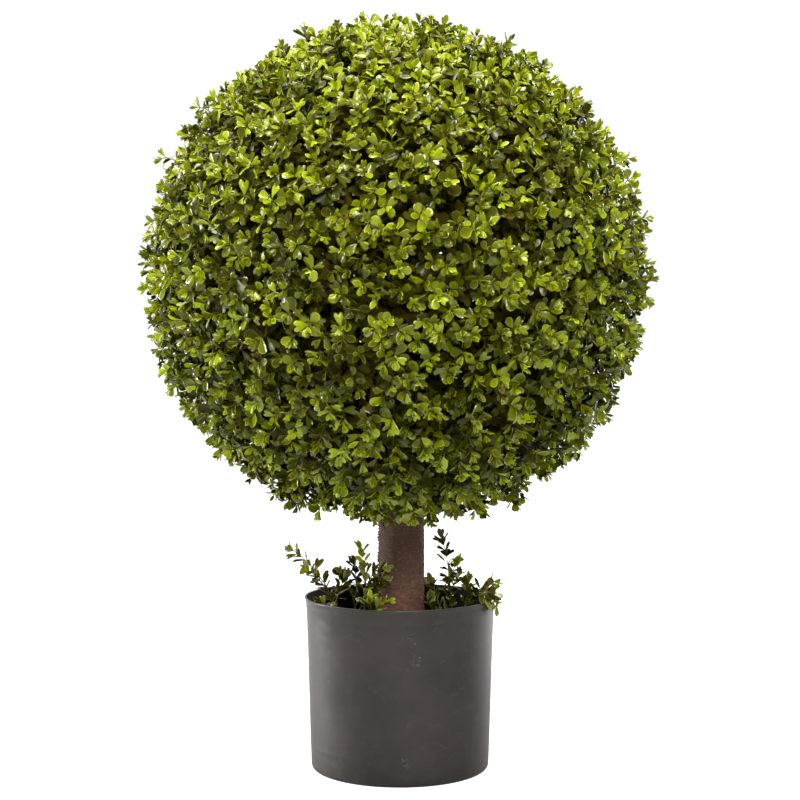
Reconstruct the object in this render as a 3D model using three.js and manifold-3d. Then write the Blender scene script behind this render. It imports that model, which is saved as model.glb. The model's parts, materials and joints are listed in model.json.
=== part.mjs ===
// Clipped box ball on a straight pole, in a round pot with sprigs of box growing round its foot.
// Units are millimetres and +Z is up. The origin is the centre of the pot's flat underside,
// -Y is the front and +X is to the right.
import * as THREE from "three";
import { mergeVertices } from "three/addons/utils/BufferGeometryUtils.js";
import Module from "manifold-3d";

const wasm = await Module();
wasm.setup();

// ---- driving dimensions ----
const OVERALL_HEIGHT = 686;
const CLEARANCE = 0.3; // gap left between pieces that touch in the real object

const BALL_RADIUS = 229; // mean radius to the leaf tips
const BALL_UNEVENNESS = 7; // how far tufts stand above or below that radius
const BALL_DETAIL = 13; // subdivisions of the icosahedron that the ball starts from
const BALL_CENTRE = new THREE.Vector3(-3, 0, OVERALL_HEIGHT - BALL_RADIUS - BALL_UNEVENNESS);

const POT_HEIGHT = 158;
const POT_RIM_RADIUS = 87;
const POT_FOOT_RADIUS = 81;
const POT_WALL = 1.6;
const POT_FLOOR = 2.4;
const POT_FOOT_ROUNDING = 4;
const FOOT_ROUNDING_STEPS = 4;
const POT_SEGMENTS = 64;
const RIM_BAND_HEIGHT = 13; // the band under the rim, marked off by a shallow step
const RIM_BAND_STEP = 0.5;
const RIM_FLARE = 1.4; // how far the lip turns outwards
const RIM_FLARE_HEIGHT = 6;
const INNER_RIBS = 4; // fine rings moulded inside, under the rim
const INNER_RIB_PITCH = 4;
const INNER_RIB_DEPTH = 0.5;
const INNER_RIB_START = 7; // from the rim down to the first ring

const FILL_DEPTH_BELOW_RIM = 38;
const FILL_MOUND = 3; // how much higher the fill is against the trunk than against the wall
const FILL_MOUND_STEPS = 4;

const TRUNK_FOOT_RADIUS = 21.3;
const TRUNK_TOP_RADIUS = 20.5;
const TRUNK_OFFSET = 1.5; // the pole stands slightly to the right of the pot's middle
const TRUNK_FOOT_Z = 20; // cast into the fill
const TRUNK_TOP_Z = BALL_CENTRE.z; // hidden at the middle of the ball
const TRUNK_SEGMENTS = 40;

const FILL_TOP = POT_HEIGHT - FILL_DEPTH_BELOW_RIM;
const SPRIG_SIDES = 8;
const SPRIG_RINGS = 9;
const SPRIG_UNEVENNESS = 0.14;

// Each sprig in the pot: the foot of its stem on the fill, then points that the stem passes,
// and its radius where it is widest.
const SPRIGS = [
  {
    name: "pot_sprig_left_leaning",
    radius: 12,
    foot: [-56, -4],
    stem: [[-61, -4, 150], [-82, -8, 182], [-108, -10, 207]],
  },
  {
    name: "pot_sprig_left_upright",
    radius: 12,
    foot: [-34, -24],
    stem: [[-32, -26, 154], [-31, -27, 182], [-41, -28, 206]],
  },
  {
    name: "pot_sprig_left_rear",
    radius: 11,
    foot: [-38, 26],
    stem: [[-43, 27, 142], [-48, 28, 166], [-50, 28, 188]],
  },
  {
    name: "pot_sprig_left_low",
    radius: 11,
    foot: [-20, -52],
    stem: [[-22, -54, 140], [-24, -56, 157], [-22, -57, 172]],
  },
  {
    name: "pot_sprig_right_upright",
    radius: 13,
    foot: [37, 18],
    stem: [[40, 17, 150], [42, 16, 182], [37, 15, 208]],
  },
  {
    name: "pot_sprig_right_leaning",
    radius: 9,
    foot: [46, -22],
    stem: [[54, -25, 146], [74, -29, 169], [97, -33, 167]],
  },
];

// ---- materials ----
function paint(color, roughness) {
  return new THREE.MeshStandardMaterial({ color, roughness, metalness: 0 });
}
const POT_PLASTIC = paint(0x45413f, 0.5);
const CAST_FILL = paint(0x2f2a26, 0.95);
const TRUNK_WRAP = paint(0x5a4538, 0.9);
const FOLIAGE = paint(0x6f7d24, 0.55);
const SPRIG_FOLIAGE = paint(0x56681f, 0.55);

// ---- geometry helpers ----
const point = (x, y) => new THREE.Vector2(x, y);

// Turns a profile of (radius, height) points about the vertical axis.
function turned(profile, segments) {
  return new THREE.LatheGeometry(profile, segments).rotateX(Math.PI / 2);
}

function solidOf(geometry) {
  const bare = geometry.clone();
  bare.deleteAttribute("normal");
  bare.deleteAttribute("uv");
  const merged = mergeVertices(bare, 1e-3);
  return new wasm.Manifold(
    new wasm.Mesh({
      numProp: 3,
      vertProperties: merged.attributes.position.array,
      triVerts: new Uint32Array(merged.index.array),
    }),
  );
}

function geometryOf(solid) {
  const { vertProperties, triVerts } = solid.getMesh();
  return new THREE.BufferGeometry()
    .setAttribute("position", new THREE.BufferAttribute(vertProperties, 3))
    .setIndex(new THREE.BufferAttribute(triVerts, 1));
}

function named(name, geometry, material) {
  const mesh = new THREE.Mesh(geometry, material);
  mesh.name = name;
  return mesh;
}

// Several waves added in different directions: a smooth bumpiness between -1 and 1.
const WAVES = [
  { along: [0.52, 0.85, 0.07], count: 17, shift: 0.4 },
  { along: [-0.81, 0.33, 0.48], count: 20, shift: 2.1 },
  { along: [0.18, -0.44, 0.88], count: 18, shift: 4.0 },
  { along: [0.71, -0.61, 0.35], count: 22, shift: 5.2 },
  { along: [-0.29, -0.12, 0.95], count: 15, shift: 1.3 },
];
const WAVE_GAIN = 1.7; // the waves seldom agree, so their mean is raised by this and then limited
function bumpiness(direction) {
  let sum = 0;
  for (const { along, count, shift } of WAVES) {
    sum += Math.sin(count * direction.dot(new THREE.Vector3(...along)) + shift);
  }
  return THREE.MathUtils.clamp((WAVE_GAIN * sum) / WAVES.length, -1, 1);
}

// ---- pot ----
// The plain tapering wall, without its rim band and flare.
function wallRadius(z) {
  return THREE.MathUtils.lerp(POT_FOOT_RADIUS, POT_RIM_RADIUS - RIM_FLARE, z / POT_HEIGHT);
}

function innerRadius(z) {
  return wallRadius(z) - POT_WALL;
}

function potProfile() {
  const bandFoot = POT_HEIGHT - RIM_BAND_HEIGHT;
  const flareFoot = POT_HEIGHT - RIM_FLARE_HEIGHT;
  const flareRadius = wallRadius(flareFoot) + RIM_BAND_STEP;
  const profile = [point(0, 0)];
  for (let step = 0; step <= FOOT_ROUNDING_STEPS; step++) {
    const angle = (step / FOOT_ROUNDING_STEPS) * (Math.PI / 2);
    const inset = POT_FOOT_ROUNDING * (1 - Math.sin(angle));
    profile.push(point(wallRadius(0) - inset, POT_FOOT_ROUNDING * (1 - Math.cos(angle))));
  }
  profile.push(
    point(wallRadius(bandFoot), bandFoot),
    point(wallRadius(bandFoot) + RIM_BAND_STEP, bandFoot + 1),
    point(flareRadius, flareFoot),
    point(POT_RIM_RADIUS, POT_HEIGHT - 1),
    point(POT_RIM_RADIUS - 0.2, POT_HEIGHT),
    point(POT_RIM_RADIUS - POT_WALL, POT_HEIGHT),
    point(flareRadius - POT_WALL, flareFoot),
  );
  for (let rib = 0; rib < INNER_RIBS; rib++) {
    const crest = POT_HEIGHT - INNER_RIB_START - (rib + 0.5) * INNER_RIB_PITCH;
    const side = INNER_RIB_PITCH * 0.3;
    profile.push(
      point(innerRadius(crest + side), crest + side),
      point(innerRadius(crest) - INNER_RIB_DEPTH, crest),
      point(innerRadius(crest - side), crest - side),
    );
  }
  const cornerTop = POT_FLOOR + POT_FOOT_ROUNDING;
  profile.push(
    point(innerRadius(cornerTop), cornerTop),
    point(innerRadius(POT_FLOOR) - POT_FOOT_ROUNDING, POT_FLOOR),
    point(0, POT_FLOOR),
  );
  return profile;
}

// ---- cast fill that holds the pole, a little higher in the middle ----
function fillProfile() {
  const fillRadius = (z) => innerRadius(z) - CLEARANCE;
  const foot = POT_FLOOR + CLEARANCE;
  const corner = POT_FOOT_ROUNDING + 1;
  const moundRadius = TRUNK_FOOT_RADIUS + TRUNK_OFFSET + CLEARANCE;
  const profile = [
    point(0, foot),
    point(fillRadius(foot) - corner, foot),
    point(fillRadius(foot + corner), foot + corner),
    point(fillRadius(FILL_TOP), FILL_TOP),
  ];
  for (let step = 1; step <= FILL_MOUND_STEPS; step++) {
    const share = step / FILL_MOUND_STEPS;
    const height = FILL_TOP + FILL_MOUND * Math.sin((share * Math.PI) / 2);
    profile.push(point(THREE.MathUtils.lerp(fillRadius(FILL_TOP), moundRadius, share), height));
  }
  profile.push(point(0, FILL_TOP + FILL_MOUND));
  return profile;
}

// ---- trunk: a straight wrapped pole from inside the fill to the middle of the ball ----
// With extra it is that much larger all round, to cut a clear socket for it.
function trunkGeometry(extra = 0) {
  const height = TRUNK_TOP_Z - TRUNK_FOOT_Z + 2 * extra;
  const top = TRUNK_TOP_RADIUS + extra;
  const foot = TRUNK_FOOT_RADIUS + extra;
  return new THREE.CylinderGeometry(top, foot, height, TRUNK_SEGMENTS)
    .rotateX(Math.PI / 2)
    .translate(TRUNK_OFFSET, 0, (TRUNK_TOP_Z + TRUNK_FOOT_Z) / 2);
}

// ---- ball: one clipped mass of foliage ----
function ballGeometry() {
  const geometry = new THREE.IcosahedronGeometry(1, BALL_DETAIL);
  const position = geometry.attributes.position;
  const direction = new THREE.Vector3();
  for (let i = 0; i < position.count; i++) {
    direction.fromBufferAttribute(position, i).normalize();
    const radius = BALL_RADIUS + BALL_UNEVENNESS * bumpiness(direction);
    direction.multiplyScalar(radius).add(BALL_CENTRE);
    position.setXYZ(i, direction.x, direction.y, direction.z);
  }
  return geometry;
}

// ---- sprigs: one uneven tuft along each stem, thin at the foot and the tip ----
// The share of its full radius that a sprig has at a share of the way up its stem.
function swell(share) {
  return 0.3 + 0.7 * Math.sin(Math.PI * (0.12 + 0.86 * share));
}

function sprigRing(curve, frames, ring, radius) {
  const share = ring / (SPRIG_RINGS - 1);
  const centre = curve.getPointAt(share);
  const points = [];
  for (let side = 0; side < SPRIG_SIDES; side++) {
    const angle = (side / SPRIG_SIDES) * 2 * Math.PI;
    const uneven = 1 + SPRIG_UNEVENNESS * Math.sin(3 * angle + 2.3 * ring);
    const out = new THREE.Vector3()
      .addScaledVector(frames.normals[ring], Math.cos(angle))
      .addScaledVector(frames.binormals[ring], Math.sin(angle));
    if (ring === 0) out.setZ(0).normalize(); // the foot stands flat on the fill
    points.push(centre.clone().addScaledVector(out, radius * swell(share) * uneven));
  }
  return points;
}

function sprigGeometry({ foot, stem, radius }) {
  const footPoint = [...foot, FILL_TOP + FILL_MOUND + CLEARANCE];
  const curve = new THREE.CatmullRomCurve3([footPoint, ...stem].map((p) => new THREE.Vector3(...p)));
  const frames = curve.computeFrenetFrames(SPRIG_RINGS - 1, false);
  const points = [];
  for (let ring = 0; ring < SPRIG_RINGS; ring++) points.push(...sprigRing(curve, frames, ring, radius));

  const faces = [];
  for (let ring = 0; ring < SPRIG_RINGS - 1; ring++) {
    for (let side = 0; side < SPRIG_SIDES; side++) {
      const a = ring * SPRIG_SIDES + side;
      const b = ring * SPRIG_SIDES + ((side + 1) % SPRIG_SIDES);
      faces.push(a, b, b + SPRIG_SIDES, a, b + SPRIG_SIDES, a + SPRIG_SIDES);
    }
  }
  const footCentre = points.length;
  const tipCentre = footCentre + 1;
  const lastRing = (SPRIG_RINGS - 1) * SPRIG_SIDES;
  points.push(new THREE.Vector3(...footPoint));
  points.push(curve.getPointAt(1).addScaledVector(frames.tangents[SPRIG_RINGS - 1], radius * 0.3));
  for (let side = 0; side < SPRIG_SIDES; side++) {
    const next = (side + 1) % SPRIG_SIDES;
    faces.push(footCentre, next, side, tipCentre, lastRing + side, lastRing + next);
  }
  return new THREE.BufferGeometry().setFromPoints(points).setIndex(faces);
}

// ---- assembly ----
const topiary = new THREE.Group();
const socket = solidOf(trunkGeometry(CLEARANCE)); // the room that the pole takes up
const fill = solidOf(turned(fillProfile(), POT_SEGMENTS)).subtract(socket);
const ball = solidOf(ballGeometry()).subtract(socket);

topiary.add(named("pot", turned(potProfile(), POT_SEGMENTS), POT_PLASTIC));
topiary.add(named("pot_fill", geometryOf(fill), CAST_FILL));
topiary.add(named("trunk", trunkGeometry(), TRUNK_WRAP));
topiary.add(named("foliage_ball", geometryOf(ball), FOLIAGE));
for (const sprig of SPRIGS) topiary.add(named(sprig.name, sprigGeometry(sprig), SPRIG_FOLIAGE));

export default topiary;
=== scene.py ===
"""Clipped ball of artificial box leaves on a wrapped pole, in a moulded pot with sprigs round its foot.

Lengths are in metres. +Z is up, -Y is the front and +X is to the right.
"""

import json
import math
import random

import bmesh
import bpy
import numpy as np
from mathutils import Matrix, Quaternion, Vector, noise
from mathutils.kdtree import KDTree

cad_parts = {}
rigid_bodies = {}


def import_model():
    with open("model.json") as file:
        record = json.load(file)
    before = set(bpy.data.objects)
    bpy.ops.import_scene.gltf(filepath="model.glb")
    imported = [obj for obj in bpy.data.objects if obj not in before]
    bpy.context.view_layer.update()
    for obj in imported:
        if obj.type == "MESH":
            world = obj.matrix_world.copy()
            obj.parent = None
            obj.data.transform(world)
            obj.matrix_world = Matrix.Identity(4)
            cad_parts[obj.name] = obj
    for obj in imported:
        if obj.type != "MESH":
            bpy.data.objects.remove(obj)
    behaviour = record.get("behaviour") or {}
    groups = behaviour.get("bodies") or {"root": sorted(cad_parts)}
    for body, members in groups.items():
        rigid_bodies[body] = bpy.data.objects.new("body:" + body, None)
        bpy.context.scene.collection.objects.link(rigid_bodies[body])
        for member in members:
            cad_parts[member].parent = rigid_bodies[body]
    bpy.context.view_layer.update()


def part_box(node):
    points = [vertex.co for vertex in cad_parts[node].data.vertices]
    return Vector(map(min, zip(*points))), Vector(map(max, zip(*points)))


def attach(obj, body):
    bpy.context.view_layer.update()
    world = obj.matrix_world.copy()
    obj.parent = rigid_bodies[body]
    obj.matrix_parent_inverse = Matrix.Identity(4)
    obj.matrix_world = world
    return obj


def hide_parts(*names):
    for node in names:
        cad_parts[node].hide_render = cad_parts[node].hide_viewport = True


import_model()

MM = 0.001
TAU = 2 * math.pi
UP = Vector((0, 0, 1))

# ---- sizes taken from the frame ----
BALL_LOW, BALL_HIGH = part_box("foliage_ball")
POT_LOW, POT_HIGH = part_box("pot")
TRUNK_LOW, TRUNK_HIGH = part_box("trunk")
FILL_LOW, FILL_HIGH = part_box("pot_fill")

BALL_CENTRE = Vector(((BALL_LOW.x + BALL_HIGH.x) / 2, (BALL_LOW.y + BALL_HIGH.y) / 2, TRUNK_HIGH.z))
BALL_RADIUS = ((BALL_HIGH - BALL_LOW).x + (BALL_HIGH - BALL_LOW).y) / 4
POT_RADIUS = (POT_HIGH.x - POT_LOW.x) / 2
POT_HEIGHT = POT_HIGH.z
TRUNK_AXIS = Vector(((TRUNK_LOW.x + TRUNK_HIGH.x) / 2, (TRUNK_LOW.y + TRUNK_HIGH.y) / 2, 0))
TRUNK_RADIUS = (TRUNK_HIGH.x - TRUNK_LOW.x) / 2

POLE_SEAM = math.radians(188)  # where the pole's wrap laps, round from the right
KNOT_WIDTH = 0.9 * MM
KNOT_GAPS = (1.8, 3.6)  # millimetres from a knot up to the next
KNOT_HEIGHTS = (1.0, 2.4)  # millimetres that knots stand out

# ---- light of the room ----
ROOM_IN_FRONT = 0.16
ROOM_BEHIND = 1.15
ROOM_SEEN = 1.05  # how bright the room itself looks
WHITE = (1, 1, 1, 1)

# ---- sizes of the foliage ----
LEAF_LENGTH = 12.4 * MM
TUFT_COUNT = 340
SPRIG_COUNT = 1900
PAIRS_PER_SPRIG = 7
FIRST_PAIR = 0.5 * MM  # back from a twig's tip
CLOSEST_GAP = 3.0 * MM  # between the first two pairs of leaves at a tip
CLOSE_PAIRS = 4  # pairs over which the gaps grow to their full width
PAIR_GROWTH = 0.15  # share of a full leaf that each pair gains on the one above it
TIP_OPENING = 20  # degrees that the pair at the tip opens to
OPENING_PAIRS = 1.9  # pairs over which the leaves open out
DROOP_RANGE = (0.3, 1.7)  # least and most of its habit's droop that a leaf takes
SIZE_RANGE = (0.85, 1.12)  # the same for its size
TINT_STEPS = (0, 0, 0, 1, -1)  # steps that a leaf may stray along its habit's tints
CROSS_JITTER = 0.15  # radians that a pair strays from square to the one above it
ROUND_JITTER = 0.22  # radians that a leaf strays round its twig
OPEN_JITTER = 0.24  # radians that its opening varies
ROLL_JITTER = 0.5  # radians that it rolls about its own length
DETAILED_PAIRS = 4  # pairs from the tip down whose leaves are modelled in full
TIP_RADIUS = BALL_RADIUS - 10 * MM  # twigs end here, and their last leaves reach the outline
FORK_RADIUS = BALL_RADIUS - 50 * MM  # where a tuft's stem divides into its twigs
LATTICE_RADIUS = BALL_RADIUS - 78 * MM
RUSSET_SHARE = 0.006  # of all leaves
TIP_SCATTER = 4.2  # millimetres that the twigs' ends vary in height
STRAY_SHARE = 0.1  # of the twigs, which stand a little further out
STRAY_REACH = (1, 8)  # millimetres that they do so
UNDERSIDE_TRIM = 5 * MM  # the ball is clipped this much flatter at the very bottom
STEM_ENDS = (1.6 * MM, 1.1 * MM)  # radius of a stem at its root and at its fork
TWIG_ENDS = (0.75 * MM, 0.4 * MM)  # radius of a twig at its foot and at its tip
LEAVES_PER_PIECE = 4600  # at most, of one tint
INNER_LEAF_LENGTH = 14 * MM
# The depth of each layer of dark leaves, coloured as painted shade, and how many would cover a whole sphere
# as densely.
INNER_LAYERS = ((38 * MM, 7500), (54 * MM, 6000))


# ---- nodes ----
def add_node(tree, kind, settings=None, inputs=None):
    """A new node with its settings. Each of its inputs is set to a value, or joined to a socket or Field."""
    made = tree.nodes.new(kind)
    for label, value in (settings or {}).items():
        setattr(made, label, value)
    for key, value in (inputs or {}).items():
        if isinstance(value, Field):
            value = value.socket
        if isinstance(value, bpy.types.NodeSocket):
            tree.links.new(value, made.inputs[key])
        else:
            made.inputs[key].default_value = value
    return made


# ---- materials ----
class Field:
    """A number that varies over a surface. Arithmetic on it adds Math nodes."""

    def __init__(self, shader, socket):
        self.shader = shader
        self.socket = socket

    def _math(self, operation, *values):
        sockets = [v.socket if isinstance(v, Field) else v for v in values]
        return self.shader.field("ShaderNodeMath", {"operation": operation}, dict(enumerate(sockets)))

    def __add__(self, other):
        return self._math("ADD", self, other)

    def __sub__(self, other):
        return self._math("SUBTRACT", self, other)

    def __rsub__(self, other):
        return self._math("SUBTRACT", other, self)

    def __mul__(self, other):
        return self._math("MULTIPLY", self, other)

    __radd__ = __add__
    __rmul__ = __mul__

    def within(self, low, high):
        """0 below low, 1 above high, and a smooth step between them."""
        settings = {"interpolation_type": "SMOOTHSTEP"}
        inputs = {"Value": self.socket, "From Min": low, "From Max": high}
        return self.shader.field("ShaderNodeMapRange", settings, inputs)


class Shader:
    """One material, with its nodes made by node() and its numbers by field()."""

    def __init__(self, name, **constants):
        self.material = bpy.data.materials.new(name)
        self.material.use_nodes = True
        self.tree = self.material.node_tree
        self.surface = self.tree.nodes["Principled BSDF"]
        for label, value in constants.items():
            self.surface.inputs[label.replace("_", " ")].default_value = value

    def node(self, kind, settings=None, inputs=None):
        return add_node(self.tree, kind, settings, inputs)

    def field(self, kind, settings=None, inputs=None, output=0):
        return Field(self, self.node(kind, settings, inputs).outputs[output])

    def place(self, scale=(1, 1, 1)):
        """Object coordinates, stretched by scale along each axis."""
        coordinates = self.node("ShaderNodeTexCoord").outputs["Object"]
        return self.node("ShaderNodeMapping", None, {"Vector": coordinates, "Scale": scale}).outputs[0]

    def mottle(self, scale, detail=3.0, stretch=(1, 1, 1), roughness=0.55):
        inputs = {"Vector": self.place(stretch), "Scale": scale, "Detail": detail, "Roughness": roughness}
        return self.field("ShaderNodeTexNoise", None, inputs)

    def height(self):
        """How high the surface is, in metres."""
        return self.field("ShaderNodeSeparateXYZ", None, {0: self.place()}, 2)

    def near(self, point, reach):
        """1 around a point and 0 beyond its reach, with a ragged edge."""
        inputs = {0: self.place(), 1: point}
        distance = self.field("ShaderNodeVectorMath", {"operation": "DISTANCE"}, inputs, 1)
        ragged = distance + self.mottle(700, 1) * reach
        return 1 - ragged.within(1.25 * reach, 1.5 * reach)

    def mix(self, share, first, second):
        """A colour that is first where share is 0 and second where it is 1."""
        settings = {"data_type": "RGBA"}
        return self.node("ShaderNodeMix", settings, {0: share, 6: first, 7: second}).outputs[2]

    def connect(self, label, value):
        socket = value.socket if isinstance(value, Field) else value
        self.tree.links.new(socket, self.surface.inputs[label])

    def bump(self, height, distance, strength=1.0):
        inputs = {"Height": height, "Distance": distance, "Strength": strength}
        self.connect("Normal", self.node("ShaderNodeBump", None, inputs).outputs[0])


def colour(red, green, blue):
    """A linear colour from sRGB values between 0 and 255."""

    def linear(value):
        share = value / 255
        return share / 12.92 if share <= 0.04045 else ((share + 0.055) / 1.055) ** 2.4

    return (linear(red), linear(green), linear(blue), 1.0)


def moulded_leaf(name, rgb, roughness, gloss):
    return Shader(name, Base_Color=colour(*rgb), Roughness=roughness, Specular_IOR_Level=gloss).material


# Each tint of leaf: the colour of its blade, that of its margin, and its gloss.
TINTS = {
    "lime": ((142, 155, 8), (164, 175, 34), 0.48),
    "fresh": ((128, 138, 7), (154, 163, 28), 0.46),
    "green": ((103, 109, 7), (132, 138, 24), 0.40),
    "dark": ((78, 82, 7), (107, 111, 20), 0.24),
    "shade": ((58, 58, 5), (82, 82, 14), 0.12),
    "russet": ((90, 79, 10), (116, 102, 20), 0.3),
    "sage": ((128, 129, 48), (160, 163, 94), 0.48),
    "deep_sage": ((92, 90, 26), (120, 120, 58), 0.32),
}
BALL_TINTS = ("lime", "fresh", "green", "dark", "shade")
POT_TINTS = ("lime", "fresh", "sage", "deep_sage", "shade")
# Colour of the dull leaves deep inside the ball: painted shade.
PAINTED_SHADE_TINT = (64, 58, 8)


def wrapped_pole_material():
    """Brown wrap, lighter and redder low down and darker towards the ball as painted shade under the ball. It
    has pale specks and two stray flecks.
    """
    shader = Shader("brown_pole_wrap", Specular_IOR_Level=0.2)
    ripples = shader.mottle(150, 4, stretch=(1, 1, 4.5), roughness=0.65)
    patches = shader.mottle(38, 3)
    fuzz = shader.mottle(900, 2)
    height = shader.height()
    # Painted shade: the wrap is darker towards the ball, as if in the ball's shadow, and lighter low down.
    low = shader.mix(patches.within(0.32, 0.68), colour(138, 99, 82), colour(111, 82, 68))
    high = shader.mix(patches.within(0.32, 0.68), colour(88, 66, 53), colour(72, 56, 46))
    base = shader.mix(height.within(POT_HEIGHT - 4 * MM, POT_HEIGHT + 34 * MM), low, high)
    base = shader.mix(ripples.within(0.44, 0.62) * 0.6, base, colour(72, 53, 42))
    base = shader.mix(fuzz.within(0.54, 0.72) * 0.4, base, colour(150, 118, 98))
    specks = shader.mottle(480, 0).within(0.77, 0.82)
    base = shader.mix(specks * 0.5, base, colour(150, 124, 100))
    front = TRUNK_AXIS - Vector((0, TRUNK_RADIUS, 0))
    pale = front + Vector((0.88 * TRUNK_RADIUS, 0.52 * TRUNK_RADIUS, POT_HEIGHT - 1 * MM))
    blue = front + Vector((0.45 * TRUNK_RADIUS, 0.10 * TRUNK_RADIUS, POT_HEIGHT + 5 * MM))
    base = shader.mix(shader.near(pale, 1.3 * MM), base, colour(196, 160, 146))
    base = shader.mix(shader.near(blue, 1.5 * MM), base, colour(30, 74, 150))
    shader.connect("Base Color", base)
    shader.connect("Roughness", 0.78 + ripples * 0.18)
    shader.bump(ripples + fuzz * 0.5, 0.5 * MM, 0.8)
    return shader.material


# Chalky marks on the pot: degrees round to the right of the front, height and reach in millimetres.
CHALK_MARKS = ((6, 131, 7), (9, 113, 7), (46, 33, 6), (4, 21, 8), (-31, 12, 6))


def pot_plastic_material():
    """Almost black moulded plastic, cloudy with handling, with a few small chalky scuffs."""
    shader = Shader("satin_black_plastic", Specular_IOR_Level=0.42)
    clouds = shader.mottle(16, 6, roughness=0.65)
    streaks = shader.mottle(24, 4, stretch=(1, 1, 0.1))
    rings = shader.mottle(9, 4, stretch=(0.4, 0.4, 16))
    scuffs = shader.mottle(58, 6, stretch=(1, 1, 1.8), roughness=0.7).within(0.56, 0.78)
    grain = shader.mottle(260, 5, stretch=(1, 1, 1.8)).within(0.5, 0.74)
    marks = []
    for degrees, height, reach in CHALK_MARKS:
        angle = math.radians(degrees)
        mark = Vector((math.sin(angle) * POT_RADIUS, -math.cos(angle) * POT_RADIUS, height * MM))
        marks.append(shader.near(mark, reach * MM))
    chalk = sum(marks) * grain
    base = shader.mix(clouds.within(0.3, 0.7), colour(23, 18, 16), colour(46, 38, 33))
    base = shader.mix(scuffs * 0.5, base, colour(78, 72, 68))
    shader.connect("Base Color", shader.mix(chalk * 0.5, base, colour(118, 120, 124)))
    worn_foot = 1 - shader.height().within(30 * MM, POT_HEIGHT)
    gloss = 0.13 + clouds * 0.22 + streaks * 0.12 + rings * 0.08 + worn_foot * 0.14
    shader.connect("Roughness", gloss + scuffs * 0.12 + chalk * 0.2)
    shader.bump(clouds * 1.5 + rings * 0.6 + streaks * 0.4 + shader.mottle(700, 2) * 0.05, 0.8 * MM, 0.4)
    return shader.material


def pot_lip_material():
    """The pot's lip, with a painted highlight: paler and smoother in places."""
    shader = Shader("rubbed_lip_plastic", Specular_IOR_Level=0.5)
    lip_highlight = shader.mottle(45, 4).within(0.34, 0.6)
    # Painted highlight: the lip's colour is paler where it would catch the light.
    shader.connect("Base Color", shader.mix(lip_highlight, colour(46, 40, 36), colour(112, 102, 94)))
    shader.connect("Roughness", 0.42 - lip_highlight * 0.1)
    return shader.material


def pot_inside_material():
    """The same plastic inside the pot, unpolished, and darker as painted shade."""
    shader = Shader("dull_black_plastic", Specular_IOR_Level=0.03)
    clouds = shader.mottle(20, 4)
    # Painted shade: a darker base colour inside the pot than outside.
    shader.connect("Base Color", shader.mix(clouds, colour(22, 17, 13), colour(38, 31, 25)))
    shader.connect("Roughness", 0.75 + clouds * 0.2)
    return shader.material


def cast_fill_material():
    shader = Shader("rough_cast_fill", Specular_IOR_Level=0.2)
    grains = shader.mottle(500, 4)
    patches = shader.mottle(40, 3)
    base = shader.mix(patches, colour(44, 38, 32), colour(66, 56, 46))
    shader.connect("Base Color", shader.mix(grains.within(0.6, 0.75) * 0.6, base, colour(98, 86, 70)))
    shader.connect("Roughness", 0.8 + grains * 0.18)
    shader.bump(grains, 1.0 * MM, 0.8)
    return shader.material


# ---- Geometry Nodes ----
SOCKETS = {
    "number": "NodeSocketFloat",
    "count": "NodeSocketInt",
    "material": "NodeSocketMaterial",
    "collection": "NodeSocketCollection",
}


class Tree:
    """One Geometry Nodes tree: named inputs first, then nodes added by node()."""

    def __init__(self, name, **inputs):
        self.group = bpy.data.node_groups.new(name, "GeometryNodeTree")
        interface = self.group.interface
        interface.new_socket("Geometry", in_out="INPUT", socket_type="NodeSocketGeometry")
        for label, kind in inputs.items():
            interface.new_socket(label.replace("_", " "), in_out="INPUT", socket_type=SOCKETS[kind])
        interface.new_socket("Geometry", in_out="OUTPUT", socket_type="NodeSocketGeometry")
        self.given = self.group.nodes.new("NodeGroupInput").outputs

    def node(self, kind, settings=None, inputs=None, output=0):
        return add_node(self.group, kind, settings, inputs).outputs[output]

    def attribute(self, name, data_type="FLOAT"):
        return self.node("GeometryNodeInputNamedAttribute", {"data_type": data_type}, {"Name": name})

    def times(self, first, second):
        return self.node("ShaderNodeMath", {"operation": "MULTIPLY"}, {0: first, 1: second})

    def random(self, low, high, seed):
        """A random number with its own seed. The numbers' sockets are the second pair of the node."""
        inputs = {2: low, 3: high, "Seed": seed}
        return self.node("FunctionNodeRandomValue", {"data_type": "FLOAT"}, inputs, 1)

    def realized(self, geometry, material):
        """The geometry with its instances made real, all in one material."""
        real = self.node("GeometryNodeRealizeInstances", None, {0: geometry})
        return self.node("GeometryNodeSetMaterial", None, {"Geometry": real, "Material": material})

    def finish(self, geometry):
        self.group.links.new(geometry, self.group.nodes.new("NodeGroupOutput").inputs[0])
        return self.group


def leaf_tree():
    """Sets a leaf on every point, turned, sized and picked by the point's attributes."""
    tree = Tree(
        "leaves_on_points",
        Leaf_Forms="collection",
        Leaf_Length="number",
        Size_Spread="number",
        Seed="count",
        Blade="material",
        Margin="material",
    )
    given = tree.given
    least = tree.node("ShaderNodeMath", {"operation": "SUBTRACT"}, {0: 1.0, 1: given["Size Spread"]})
    most = tree.node("ShaderNodeMath", {"operation": "ADD"}, {0: 1.0, 1: given["Size Spread"]})
    length = tree.times(tree.attribute("size"), given["Leaf Length"])
    size = tree.times(length, tree.random(least, most, given["Seed"]))
    forms = tree.node(
        "GeometryNodeCollectionInfo",
        None,
        {"Collection": given["Leaf Forms"], "Separate Children": True, "Reset Children": True},
    )
    placed = tree.node(
        "GeometryNodeInstanceOnPoints",
        None,
        {
            "Points": given["Geometry"],
            "Instance": forms,
            "Pick Instance": True,
            "Instance Index": tree.attribute("form", "INT"),
            "Rotation": tree.attribute("turn", "QUATERNION"),
            "Scale": size,
        },
    )
    inputs = {
        "Geometry": tree.realized(placed, given["Blade"]),
        "Selection": tree.attribute("margin", "BOOLEAN"),
        "Material": given["Margin"],
    }
    return tree.finish(tree.node("GeometryNodeSetMaterial", None, inputs))


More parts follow.
